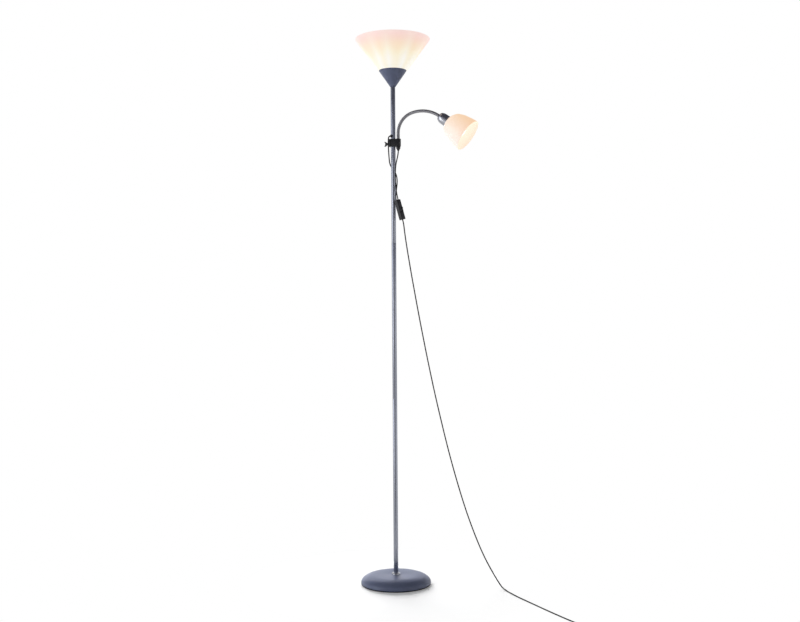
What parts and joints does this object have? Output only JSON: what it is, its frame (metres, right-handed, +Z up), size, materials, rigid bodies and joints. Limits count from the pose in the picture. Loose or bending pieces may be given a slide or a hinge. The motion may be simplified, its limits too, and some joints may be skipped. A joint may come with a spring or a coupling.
{
  "type": "floor lamp",
  "caption": "Torchiere floor lamp: round weighted foot, slim metal pole, opal cone uplight, and a bell-shaped reading light on a gooseneck clamped to the pole.",
  "frame": {"origin": "centre of the foot's underside, on the pole's axis, at floor level", "axes": "+Z up along the pole, +X to the right in the picture, so the camera looks along +Y"},
  "size_m": [0.6528, 0.6791, 1.777],
  "materials": {
    "opal": "satin",
    "satin_metal": "satin",
    "blue_grey_paint": "satin",
    "dark_paint": "matte",
    "black_plastic": "matte",
    "cord_black": "matte",
    "foot_rubber": "matte",
    "cast_weight": "rough",
    "zinc": "plain",
    "brass": "plain",
    "silver": "satin",
    "bulb_glass": "frosted"
  },
  "bodies": {
    "stand": {"foot_ring": "foot_rubber", "base_pan": "dark_paint", "base_cover": "blue_grey_paint", "base_weight": "cast_weight", "base_washer": "zinc", "base_nut": "zinc", "base_stud": "zinc", "base_collar": "satin_metal", "pole_section_1": "satin_metal", "pole_section_2": "satin_metal", "pole_section_3": "satin_metal", "pole_inserts": "zinc", "pole_joiners": "zinc", "pole_grommet": "black_plastic", "upper_lead": "cord_black", "top_nipple": "zinc", "uplight_cup": "blue_grey_paint", "cup_nut": "zinc", "upper_holder_cap": "black_plastic", "upper_holder_body": "black_plastic", "upper_thread_sleeve": "brass", "upper_contact": "brass", "upper_bulb_cap": "zinc", "upper_bulb_glass": "bulb_glass", "upper_shade": "opal", "upper_shade_ring": "opal", "upper_cord": "cord_black", "reading_cord": "cord_black", "mains_cord": "cord_black", "switch_front": "black_plastic", "switch_back": "black_plastic", "switch_screws": "zinc", "plug_body": "black_plastic", "plug_pins": "zinc"},
    "liner": {"clamp_liner": "black_plastic"},
    "clamp": {"clamp_block": "black_plastic", "clamp_insert": "brass", "arm_gland": "black_plastic", "neck_link_1": "satin_metal", "arm_lead": "cord_black"},
    "thumb_screw": {"thumb_shank": "zinc", "thumb_wings": "black_plastic"},
    "link_2": {"neck_link_2": "satin_metal"},
    "link_3": {"neck_link_3": "satin_metal"},
    "link_4": {"neck_link_4": "satin_metal"},
    "link_5": {"neck_link_5": "satin_metal"},
    "link_6": {"neck_link_6": "satin_metal"},
    "link_7": {"neck_link_7": "satin_metal"},
    "head": {"neck_link_8": "satin_metal", "reading_cup": "silver", "reading_nut": "zinc", "reading_holder": "black_plastic", "reading_thread_sleeve": "brass", "reading_contact": "brass", "reading_bulb_cap": "zinc", "reading_bulb_glass": "bulb_glass", "reading_shade": "opal", "reading_shade_ring": "opal"},
    "rocker_a": {"rocker_1": "black_plastic"},
    "rocker_b": {"rocker_2": "black_plastic"}
  },
  "joints": [
    {"name": "clamp_height", "type": "slide", "parent": "stand", "child": "liner", "axis": [0, 0, 1], "range_m": [-0.04, 0.004], "deforming": ["reading_cord", "upper_cord"]},
    {"name": "clamp_swivel", "type": "hinge", "parent": "liner", "child": "clamp", "pos_m": [0, 0, 1.4387], "axis": [0, 0, 1], "range_deg": [-90, 35], "deforming": ["reading_cord", "upper_cord"]},
    {"name": "thumb_turn", "type": "hinge", "parent": "clamp", "child": "thumb_screw", "pos_m": [-0.01409, 0.00513, 1.43628], "axis": [-0.9397, 0.342, 0], "range_deg": [0, 270]},
    {"name": "neck_1", "type": "hinge", "parent": "clamp", "child": "link_2", "pos_m": [0.01663, -0.00605, 1.47], "axis": [-0.342, -0.9397, 0], "range_deg": [-5, 8], "deforming": ["arm_lead"]},
    {"name": "neck_2", "type": "hinge", "parent": "link_2", "child": "link_3", "pos_m": [0.02236, -0.00814, 1.49747], "axis": [-0.342, -0.9397, 0], "range_deg": [-5.2, 8.2]},
    {"name": "neck_3", "type": "hinge", "parent": "link_3", "child": "link_4", "pos_m": [0.03845, -0.014, 1.51979], "axis": [-0.342, -0.9397, 0], "range_deg": [-5.2, 8.2]},
    {"name": "neck_4", "type": "hinge", "parent": "link_4", "child": "link_5", "pos_m": [0.0619, -0.02253, 1.53279], "axis": [-0.342, -0.9397, 0], "range_deg": [-5.2, 8.2]},
    {"name": "neck_5", "type": "hinge", "parent": "link_5", "child": "link_6", "pos_m": [0.0846, -0.03079, 1.53645], "axis": [-0.342, -0.9397, 0], "range_deg": [-5.2, 8.2]},
    {"name": "neck_6", "type": "hinge", "parent": "link_6", "child": "link_7", "pos_m": [0.10749, -0.03912, 1.53469], "axis": [-0.342, -0.9397, 0], "range_deg": [-5.2, 8.2]},
    {"name": "neck_7", "type": "hinge", "parent": "link_7", "child": "head", "pos_m": [0.12946, -0.04712, 1.5276], "axis": [-0.342, -0.9397, 0], "range_deg": [-5.2, 8.2]},
    {"name": "rocker_1_tilt", "type": "hinge", "parent": "stand", "child": "rocker_a", "pos_m": [0.02209, -0.02583, 1.21934], "axis": [0.6335, 0.7549, 0.1697], "range_deg": [0, 14]},
    {"name": "rocker_2_tilt", "type": "hinge", "parent": "stand", "child": "rocker_b", "pos_m": [0.02665, -0.02039, 1.22056], "axis": [0.6335, 0.7549, 0.1697], "range_deg": [-14, 0]}
  ],
  "couplings": [
    {"joint": "neck_2", "follows": "neck_1", "ratio": 1},
    {"joint": "neck_3", "follows": "neck_1", "ratio": 1},
    {"joint": "neck_4", "follows": "neck_1", "ratio": 1},
    {"joint": "neck_5", "follows": "neck_1", "ratio": 1},
    {"joint": "neck_6", "follows": "neck_1", "ratio": 1},
    {"joint": "neck_7", "follows": "neck_1", "ratio": 1}
  ]
}
